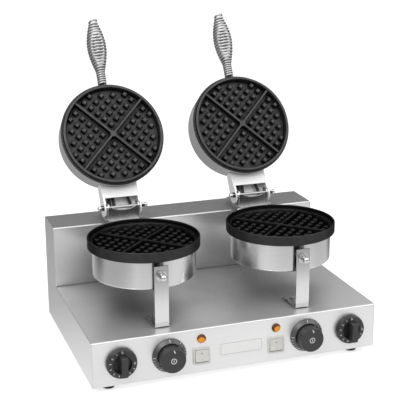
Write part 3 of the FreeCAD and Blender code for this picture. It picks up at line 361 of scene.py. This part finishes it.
# Painted shade on several steels below: their hollows are painted darker, as on the deck under the drums,
# the column near the deck, the drums behind their legs and the legs at their feet.
panel_steel = brushed_steel("brushed_along_the_front", (14, 3000, 3000), tone=0.82, rough=0.34, metal=0.7,
                            hollow_shade=0.13, hollow_shade_tone=0.06, flat=True)
column_steel = brushed_steel("brushed_along_the_column", (14, 3000, 3000), tone=0.76, rough=0.26, metal=0.92,
                             hollow_shade=0.1, hollow_shade_tone=0.35)
side_steel = brushed_steel("brushed_along_the_sides", (3000, 14, 3000), rough=0.32, metal=0.85)
cover_steel = brushed_steel("brushed_plain_covers", (14, 2000, 2000), tone=0.66, rough=0.3)
# The drums' undersides are painted darker as shade.
drum_steel = brushed_steel("turned_drum_steel", (20, 20, 2400), tone=0.66, rough=0.17, depth=0.35, underside_shade=0.1,
                           hollow_shade=0.08, hollow_shade_tone=0.45)
shell_steel = brushed_steel("turned_shell_steel", (20, 20, 2400), tone=0.44, rough=0.2,
                            turn=(LID_LEAN - math.pi / 2, 0, 0))
# The legs are made darker towards their tops.
strip_steel = brushed_steel("brushed_strip", (2000, 2000, 20), tone=0.76, rough=0.2, darker_above=(0.13, 0.19),
                            hollow_shade=0.12, hollow_shade_tone=0.08, flat=True)
hinge_steel = brushed_steel("brushed_hinge_plates", (20, 2000, 2000), rough=0.24)
# Painted light: the lid arms' steel is made near white and mostly matt, a lit copy of the steel.
arm_steel = brushed_steel("brushed_lid_arms", (20, 2000, 2000), tone=0.95, rough=0.42, metal=0.3)
bright_steel = polished_steel("chromed_nuts", tone=0.7, rough=0.05)
coil_steel = polished_steel("drawn_spring_wire", tone=0.58, rough=0.46, hollow_shade=0.005)
screw_steel = polished_steel("plated_screws", tone=0.62, rough=0.26)
lid_iron = cast_iron("seasoned_lid_plates", rubbed=0.085, hollow_shade=0.055)
lower_iron = cast_iron("seasoned_lower_plates", rubbed=0.055, hollow_shade=0.008)
knob_plastic = moulding("dark_knob_plastic", (0.022, 0.022, 0.023, 1), (0.036, 0.036, 0.038, 1), 0.36, 0.2,
                        edge_tone=2.2, hollow_shade=0.02)
dial_plastic = moulding("dark_dial_plastic", (0.026, 0.026, 0.027, 1), (0.04, 0.04, 0.042, 1), 0.4, 0.2,
                        edge_tone=2.2, Specular_IOR_Level=1.0)
ivory_plastic = moulding("ivory_switch_plastic", (0.62, 0.61, 0.58, 1), (0.7, 0.69, 0.66, 1), 0.34, 0.05,
                         edge_tone=1.15)
rubber = moulding("foot_rubber", grey(0.012), grey(0.024), 0.7, 0.3)
gland_nylon = moulding("gland_nylon", grey(0.02), (0.035, 0.035, 0.036, 1), 0.5, 0.1)
pale_plastic = moulding("terminal_plastic", (0.6, 0.58, 0.52, 1), (0.68, 0.66, 0.6, 1), 0.45, 0.08,
                        edge_tone=1.1)
case_metal = moulding("pressed_control_cases", grey(0.5), grey(0.6), 0.4, 0.05, Metallic=1.0)
rod_metal = moulding("blackened_handle_rod", grey(0.02), grey(0.04), 0.5, 0.1, Metallic=0.6)
element_metal = moulding("oxidised_element_sheath", (0.1, 0.09, 0.085, 1), (0.17, 0.15, 0.14, 1), 0.5, 0.1,
                         Metallic=0.8)
plate_silver = moulding("blank_name_plate", (0.8, 0.8, 0.79, 1), (0.86, 0.86, 0.85, 1), 0.36, 0.05,
                        edge_tone=1.05)
lens_amber = amber_lens("amber_lamp_lens")
lead_sleeve = woven_sleeve("blackened_lead_sleeve")
white_print = mark_paint("white_dial_print", (0.72, 0.72, 0.7, 1), (0.88, 0.88, 0.86, 1))
grey_print = mark_paint("grey_switch_print", grey(0.1), grey(0.16))
line_print = mark_paint("name_plate_line", grey(0.45), grey(0.52))

FINISHES = {
    "base_cover": panel_steel, "column_cover": column_steel, "side_panel": side_steel,
    "back_panel": cover_steel, "bottom_plate": cover_steel, "feet": rubber,
    "foot_screws": screw_steel, "housing_screws": screw_steel, "cord_gland": gland_nylon,
    "terminal_block": pale_plastic, "name_plate": plate_silver, "thermostats": case_metal,
    "timers": case_metal, "timer_dials": dial_plastic, "switch_bodies": ivory_plastic,
    "lamp_lenses": lens_amber, "lamp_bodies": pale_plastic, "lower_elements": element_metal,
    "drum_bolts": bright_steel, "pivot_bushes": bright_steel, "hinge_nuts": bright_steel,
    "lower_plate": lower_iron, "lower_drum": drum_steel, "drum_leg": strip_steel,
    "hinge_bridge": hinge_steel, "hinge_bracket": hinge_steel, "hinge_pin": screw_steel,
    "lid_leads": lead_sleeve, "lid_plate": lid_iron, "lid_shell": shell_steel,
    "lid_element": element_metal, "lid_nut": bright_steel, "lid_arm": arm_steel,
    "handle_rod": rod_metal, "handle_coil": coil_steel, "thermostat_knob": knob_plastic,
    "thermostat_shaft": screw_steel, "timer_knob": knob_plastic, "timer_shaft": screw_steel,
    "rocker": ivory_plastic,
}
for node, obj in nodes.items():
    kind = node.removesuffix("_left").removesuffix("_right")
    for slot in obj.material_slots:
        slot.material = FINISHES[kind]


# Modelling by hand

def start():
    """Object mode with nothing selected."""
    if bpy.context.object and bpy.context.object.mode != "OBJECT":
        bpy.ops.object.mode_set(mode="OBJECT")
    bpy.ops.object.select_all(action="DESELECT")


def pick(obj):
    """Makes one object the only selected and active one."""
    start()
    obj.select_set(True)
    bpy.context.view_layer.objects.active = obj


def settle(obj, matrix):
    """Puts a piece's place into its mesh."""
    pick(obj)
    obj.matrix_world = matrix
    bpy.ops.object.transform_apply(location=True, rotation=True, scale=True)
    return obj


def joined(name, objects):
    """Several meshes as one piece."""
    pick(objects[0])
    for obj in objects:
        obj.select_set(True)
    if len(objects) > 1:
        bpy.ops.object.join()
    piece = bpy.context.object
    piece.name = name
    piece.data.name = name
    return piece


def modify(obj, kind, **settings):
    """Adds a modifier and applies it."""
    pick(obj)
    bpy.ops.object.modifier_add(type=kind)
    modifier = obj.modifiers[-1]
    for key, value in settings.items():
        setattr(modifier, key, value)
    bpy.ops.object.modifier_apply(modifier=modifier.name)


def dress(obj, material, body):
    """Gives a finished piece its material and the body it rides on."""
    obj.data.materials.clear()
    obj.data.materials.append(material)
    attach(obj, body)


def on_panel(x, z, angle=0.0, radius=0.0):
    """Place in front of the panel, turned clockwise about a centre and moved out from it."""
    facing = Matrix(((1, 0, 0, x), (0, 0, -1, PANEL_Y - PRINT_START), (0, 1, 0, z), (0, 0, 0, 1)))
    return facing @ Matrix.Rotation(-math.radians(angle), 4, "Z") @ Matrix.Translation((0, radius, 0))


def numeral(words, size, matrix):
    """Flat lettering."""
    start()
    bpy.ops.object.text_add()
    text = bpy.context.object
    text.data.body = words
    text.data.size = size
    text.data.align_x = "CENTER"
    text.data.align_y = "CENTER"
    text.data.resolution_u = 3
    bpy.ops.object.convert(target="MESH")
    return settle(bpy.context.object, matrix)


def stroke(matrix, width, length, taper=1.0):
    """A flat printed stroke, narrowed towards its outer end."""
    start()
    bpy.ops.mesh.primitive_plane_add(size=1)
    line = bpy.context.object
    bpy.ops.object.mode_set(mode="EDIT")
    bpy.ops.transform.resize(value=(width, length, 1))
    bpy.ops.mesh.select_all(action="DESELECT")
    bpy.ops.object.mode_set(mode="OBJECT")
    for edge in line.data.edges:
        edge.select = all(line.data.vertices[v].co.y > 0 for v in edge.vertices)
    bpy.ops.object.mode_set(mode="EDIT")
    bpy.ops.transform.resize(value=(taper, 1, 1))
    bpy.ops.object.mode_set(mode="OBJECT")
    return settle(line, matrix)


def ring(matrix, radius, width, sides=40):
    """A flat printed ring."""
    start()
    bpy.ops.mesh.primitive_circle_add(vertices=sides, radius=radius, fill_type="NGON")
    band = bpy.context.object
    bpy.ops.object.mode_set(mode="EDIT")
    bpy.ops.mesh.inset(thickness=width)
    bpy.ops.mesh.delete(type="FACE")
    bpy.ops.object.mode_set(mode="OBJECT")
    return settle(band, matrix)


def printed(name, objects, node, material, body, film=FILM):
    """Presses flat marks on to a CAD node from the front, as a thin film of print."""
    marks = joined(name, objects)
    modify(marks, "SHRINKWRAP", target=nodes[node], wrap_method="PROJECT", use_project_y=True,
           use_negative_direction=False, use_positive_direction=True)
    modify(marks, "SOLIDIFY", thickness=film, offset=1.0)
    dress(marks, material, body)


# Numbers and marks on the controls

def thermostat_numbers(side, centre):
    """Numbers round the skirt of a thermostat knob, from 0 at the top."""
    digits = []
    for number in range(11):
        place = on_panel(centre, KNOB_Z, -THERMOSTAT_TURN * number, THERMOSTAT_RADIUS)
        digits.append(numeral(str(number), DIGIT if number else ZERO_DIGIT, place))
    printed(f"thermostat_numbers_{side}", digits, f"thermostat_knob_{side}", white_print,
            f"thermostat_turner_{side}")


def timer_scale(side, centre):
    """Numbers and ticks on the fixed dial round a timer knob."""
    scale = []
    for number in range(1, 6):
        place = on_panel(centre, KNOB_Z, TIMER_TURN * number, TIMER_RADIUS)
        scale.append(numeral(str(number), DIGIT, place))
    zero_mark = on_panel(centre, KNOB_Z, 0, ZERO_MARK_RADIUS)
    scale.append(stroke(zero_mark, width=0.0009, length=0.0045))
    for tick in range(4, 25):
        if tick % TICKS_PER_NUMBER:
            place = on_panel(centre, KNOB_Z, TICK_TURN * tick, TICK_RADIUS)
            scale.append(stroke(place, width=0.0006, length=0.0026))
    printed(f"timer_scale_{side}", scale, "timer_dials", white_print, "base")


def timer_symbol(side, centre):
    """Ring, bar and slanted pointer on the face of a timer knob."""
    place = on_panel(centre, KNOB_Z)
    pointer = on_panel(centre, KNOB_Z, POINTER_TURN, POINTER_RADIUS) @ Matrix.Rotation(POINTER_SLANT, 4, "Z")
    symbol = [ring(place, radius=0.0051, width=0.0011),
              stroke(place, width=0.001, length=0.0044),
              stroke(pointer, width=0.002, length=0.0058, taper=0.5)]
    printed(f"timer_symbol_{side}", symbol, f"timer_knob_{side}", white_print,
            f"timer_turner_{side}", THIN_FILM)


def switch_signs(side, centre):
    """Ring and bar on a rocker."""
    above = on_panel(centre, SWITCH_Z, 0, SWITCH_RING_UP)
    below = on_panel(centre, SWITCH_Z, 180, SWITCH_BAR_DOWN)
    signs = [ring(above, radius=0.0013, width=0.0008, sides=20), stroke(below, width=0.0007, length=0.002)]
    printed(f"switch_signs_{side}", signs, f"rocker_{side}", grey_print,
            f"switch_rocker_{side}")


for side, sign in SIDES:
    thermostat_numbers(side, sign * THERMOSTAT_X)
    timer_scale(side, sign * TIMER_X)
    timer_symbol(side, sign * TIMER_X)
    switch_signs(side, sign * SWITCH_X)


# Thin line round the blank name plate

def name_plate_line():
    """Printed border a little inside the plate's edge."""
    low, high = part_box("name_plate")
    middle = (low + high) / 2
    start()
    bpy.ops.mesh.primitive_plane_add(size=1)
    border = bpy.context.object
    bpy.ops.object.mode_set(mode="EDIT")
    bpy.ops.transform.resize(value=(high.x - low.x - BORDER_INSET, high.z - low.z - BORDER_INSET, 1))
    bpy.ops.mesh.bevel(offset=0.0022, segments=5, affect="VERTICES")
    bpy.ops.mesh.select_all(action="SELECT")
    bpy.ops.mesh.inset(thickness=0.0007)
    bpy.ops.mesh.delete(type="FACE")
    bpy.ops.object.mode_set(mode="OBJECT")
    settle(border, on_panel(middle.x, middle.z))
    printed("name_plate_border", [border], "name_plate", line_print, "base")


name_plate_line()


# Cross-head screws

def screw_places(node):
    """Where each screw of a node sits under its head, and the way its head faces."""
    start()
    loose = nodes[node].copy()
    loose.data = nodes[node].data.copy()
    loose.parent = None
    bpy.context.scene.collection.objects.link(loose)
    pick(loose)
    bpy.ops.object.mode_set(mode="EDIT")
    bpy.ops.mesh.select_all(action="SELECT")
    bpy.ops.mesh.remove_doubles(threshold=0.00001)
    bpy.ops.mesh.separate(type="LOOSE")
    bpy.ops.object.mode_set(mode="OBJECT")
    places = []
    for single in list(bpy.context.selected_objects):
        corners = [Vector(corner) for corner in single.bound_box]
        low, high = corners[0], corners[6]
        middle = (low + high) / 2
        if high.y - low.y > high.z - low.z:
            places.append((Vector((middle.x, high.y - HEAD_HEIGHT, middle.z)), Vector((0, 1, 0))))
        elif middle.z > UNDERSIDE_Z:
            places.append((Vector((middle.x, middle.y, high.z - HEAD_HEIGHT)), Vector((0, 0, 1))))
        else:
            places.append((Vector((middle.x, middle.y, low.z + HEAD_HEIGHT)), Vector((0, 0, -1))))
        bpy.data.objects.remove(single)
    return places


def cross_head_screw():
    """One pan head screw with a crossed recess, seated on z = 0."""
    start()
    head_seat = (0, 0, HEAD_HEIGHT / 2)
    bpy.ops.mesh.primitive_cylinder_add(vertices=36, radius=HEAD_RADIUS, depth=HEAD_HEIGHT,
                                        location=head_seat)
    head = bpy.context.object
    for face in head.data.polygons:
        face.select = face.normal.z > 0.9
    bpy.ops.object.mode_set(mode="EDIT")
    bpy.ops.mesh.bevel(offset=0.0012, segments=5)
    bpy.ops.mesh.select_all(action="SELECT")
    bpy.ops.object.mode_set(mode="OBJECT")
    settle(head, Matrix.Translation(head_seat))
    for turn in (0, math.pi / 2):
        start()
        bpy.ops.mesh.primitive_cube_add(size=1)
        blade = bpy.context.object
        bpy.ops.object.mode_set(mode="EDIT")
        bpy.ops.transform.resize(value=(0.0036, 0.0008, 0.0024))
        bpy.ops.mesh.select_all(action="DESELECT")
        bpy.ops.object.mode_set(mode="OBJECT")
        for face in blade.data.polygons:
            face.select = face.normal.z < -0.9
        bpy.ops.object.mode_set(mode="EDIT")
        bpy.ops.transform.resize(value=(0.5, 0.6, 1))
        bpy.ops.object.mode_set(mode="OBJECT")
        settle(blade, Matrix.Translation((0, 0, 0.0019)) @ Matrix.Rotation(turn, 4, "Z"))
        modify(head, "BOOLEAN", object=blade, operation="DIFFERENCE", solver="EXACT")
        bpy.data.objects.remove(blade)
    start()
    shank_seat = (0, 0, -SHANK_LENGTH / 2)
    bpy.ops.mesh.primitive_cylinder_add(vertices=24, radius=SHANK_RADIUS, depth=SHANK_LENGTH,
                                        location=shank_seat)
    shank = bpy.context.object
    for face in shank.data.polygons:
        face.select = face.normal.z < -0.9
    bpy.ops.object.mode_set(mode="EDIT")
    bpy.ops.mesh.bevel(offset=0.0006, segments=2)
    bpy.ops.object.mode_set(mode="OBJECT")
    settle(shank, Matrix.Translation(shank_seat))
    return joined("screw_pattern", [head, shank])


def cross_head_screws():
    """All the housing's screws, each turned a little differently."""
    pattern = cross_head_screw()
    copies = []
    for count, (seat, way) in enumerate(screw_places("housing_screws")):
        screw = pattern.copy()
        screw.data = pattern.data.copy()
        bpy.context.scene.collection.objects.link(screw)
        lean = Vector((0, 0, 1)).rotation_difference(way).to_matrix().to_4x4()
        spin = Matrix.Rotation(count * 0.7, 4, "Z")
        copies.append(settle(screw, Matrix.Translation(seat) @ lean @ spin))
    bpy.data.objects.remove(pattern)
    screws = joined("cross_head_screws", copies)
    bpy.ops.object.shade_smooth_by_angle(angle=math.radians(35))
    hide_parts("housing_screws")
    dress(screws, screw_steel, "base")


cross_head_screws()


# Sleeved leads behind each hinge

def lead_tube(x, end_x):
    """One sleeved lead, up from the column and over along the lid to its shell."""
    foot = Vector((x, LEAD_Y, LEAD_FOOT_Z))
    straight = Vector((x, LEAD_Y, LEAD_STRAIGHT_Z))
    corner = Vector((x, LEAD_Y, LEAD_CORNER_Z))
    end = Vector((end_x, LEAD_END_Y, LEAD_END_Z))
    route = [foot, straight, corner, corner.lerp(end, 0.4), end]
    start()
    bpy.ops.curve.primitive_nurbs_path_add()
    path = bpy.context.object
    path.data.splines.clear()
    spline = path.data.splines.new("NURBS")
    spline.points.add(len(route) - 1)
    for point, place in zip(spline.points, route):
        point.co = (*place, 1)
    spline.order_u = 3
    spline.use_endpoint_u = True
    path.data.resolution_u = 16
    path.data.bevel_depth = LEAD_RADIUS
    path.data.bevel_resolution = 5
    path.data.use_fill_caps = True
    bpy.ops.object.convert(target="MESH")
    return settle(bpy.context.object, Matrix.Identity(4))


for side, sign in SIDES:
    middle = sign * PLATE_X
    tubes = [lead_tube(middle + foot, middle + top) for foot, top in LEADS]
    sleeves = joined(f"lead_sleeves_{side}", tubes)
    sleeves.data.materials.clear()
    sleeves.data.materials.append(lead_sleeve)
    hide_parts(f"lid_leads_{side}")
    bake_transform(sleeves)


# Stage, light and camera

def look(tree, name):
    """1 for one kind of ray."""
    return Value.node(tree, "ShaderNodeLightPath", output=f"Is {name} Ray")


def white_floor():
    """Pale matt floor, white to the camera; mirrors see it fall off away from the object's front."""
    start()
    bpy.ops.mesh.primitive_plane_add(size=30)
    floor = bpy.context.object
    floor.name = "studio_floor"
    paint = bpy.data.materials.new("white_floor")
    paint.use_nodes = True
    tree = paint.node_tree
    tree.nodes.clear()
    x, y, _ = xyz(tree)
    left = 0.45 * (0 - x).step(0.35, 0.7)
    right = 0.3 * x.step(0.4, 0.75)
    front = 0.28 * (0 - y).step(0.4, 0.8) + 0.4 * (0 - y).step(1.2, 3.0)
    behind = (0.5 + 0.35 * abs(x).step(0.4, 0.7)) * y.step(-0.15, 0.35)
    shaded = 1 - left.math("MAXIMUM", right).math("MAXIMUM", front).math("MAXIMUM", behind)
    matt = Value.node(tree, "ShaderNodeBsdfDiffuse", inputs={"Color": grey(0.8)})
    seen = look(tree, "Camera") * 0.56
    glow = Value.node(tree, "ShaderNodeEmission", inputs={"Color": WHITE, "Strength": seen})
    both = Value.node(tree, "ShaderNodeAddShader", inputs={0: matt, 1: glow})
    mirrored = Value.node(tree, "ShaderNodeEmission", inputs={"Color": WHITE, "Strength": shaded})
    shown = Value.node(tree, "ShaderNodeMixShader", inputs={0: look(tree, "Glossy"), 1: both, 2: mirrored})
    tree.links.new(shown.socket, tree.nodes.new("ShaderNodeOutputMaterial").inputs["Surface"])
    floor.data.materials.append(paint)


def studio():
    """White studio: even fill, a white backdrop, and for mirrors grey walls under a bright ceiling."""
    world = bpy.data.worlds.new("white_studio")
    bpy.context.scene.world = world
    world.use_nodes = True
    tree = world.node_tree
    tree.nodes.clear()
    way = Value.node(tree, "ShaderNodeTexCoord", output="Generated")
    depth, height = [Value.node(tree, "ShaderNodeSeparateXYZ", inputs={0: way}, output=i) for i in (1, 2)]
    ceiling = 0.75 * height.step(0.32, 0.62) + 0.5 * height.step(0.8, 0.95)
    front = 0.3 + 0.25 * height.step(0.03, 0.2) + ceiling
    back = 0.6 - 0.5 * height.step(0.02, 0.16) + ceiling
    walls = front + (back - front) * depth.step(-0.5, 0.3)
    mirrors = look(tree, "Glossy").math("MAXIMUM", look(tree, "Transmission"))
    unseen = 0.6 + (walls - 0.6) * mirrors
    level = unseen + (1 - unseen) * look(tree, "Camera")
    background = Value.node(tree, "ShaderNodeBackground", inputs={"Color": WHITE, "Strength": level})
    tree.links.new(background.socket, tree.nodes.new("ShaderNodeOutputWorld").inputs["Surface"])


white_floor()
studio()


def softbox(name, place, aim, size, power):
    """A large square lamp."""
    start()
    bpy.ops.object.light_add(type="AREA", location=place)
    lamp = bpy.context.object
    lamp.name = name
    lamp.data.shape = "SQUARE"
    lamp.data.size = size
    lamp.data.energy = power
    lamp.rotation_euler = (Vector(aim) - Vector(place)).to_track_quat("-Z", "Y").to_euler()


softbox("key_softbox", place=(-1.4, -1.9, 2.4), aim=(0, 0, 0.2), size=1.6, power=42)
softbox("side_softbox", place=(2.2, -0.9, 1.6), aim=(0, 0, 0.2), size=1.2, power=14)


def photo_camera():
    """The camera that took the photograph: its place, its way of looking and its lens."""
    yaw, pitch, roll = (math.radians(angle) for angle in CAMERA_TURN)
    forward = Vector((-math.sin(yaw) * math.cos(pitch), math.cos(yaw) * math.cos(pitch), math.sin(pitch)))
    level = Vector((math.cos(yaw), math.sin(yaw), 0))
    upright = level.cross(forward)
    right = level * math.cos(roll) + upright * math.sin(roll)
    up = upright * math.cos(roll) - level * math.sin(roll)
    start()
    bpy.ops.object.camera_add()
    camera = bpy.context.object
    camera.name = "photo_camera"
    camera.data.lens = CAMERA_LENS
    camera.data.sensor_width = CAMERA_FILM
    camera.data.clip_end = 50
    facing = Matrix((right, up, -forward)).transposed().to_4x4()
    camera.matrix_world = Matrix.Translation(CAMERA_PLACE) @ facing
    bpy.context.scene.camera = camera


photo_camera()

bpy.context.scene.view_settings.view_transform = "Standard"
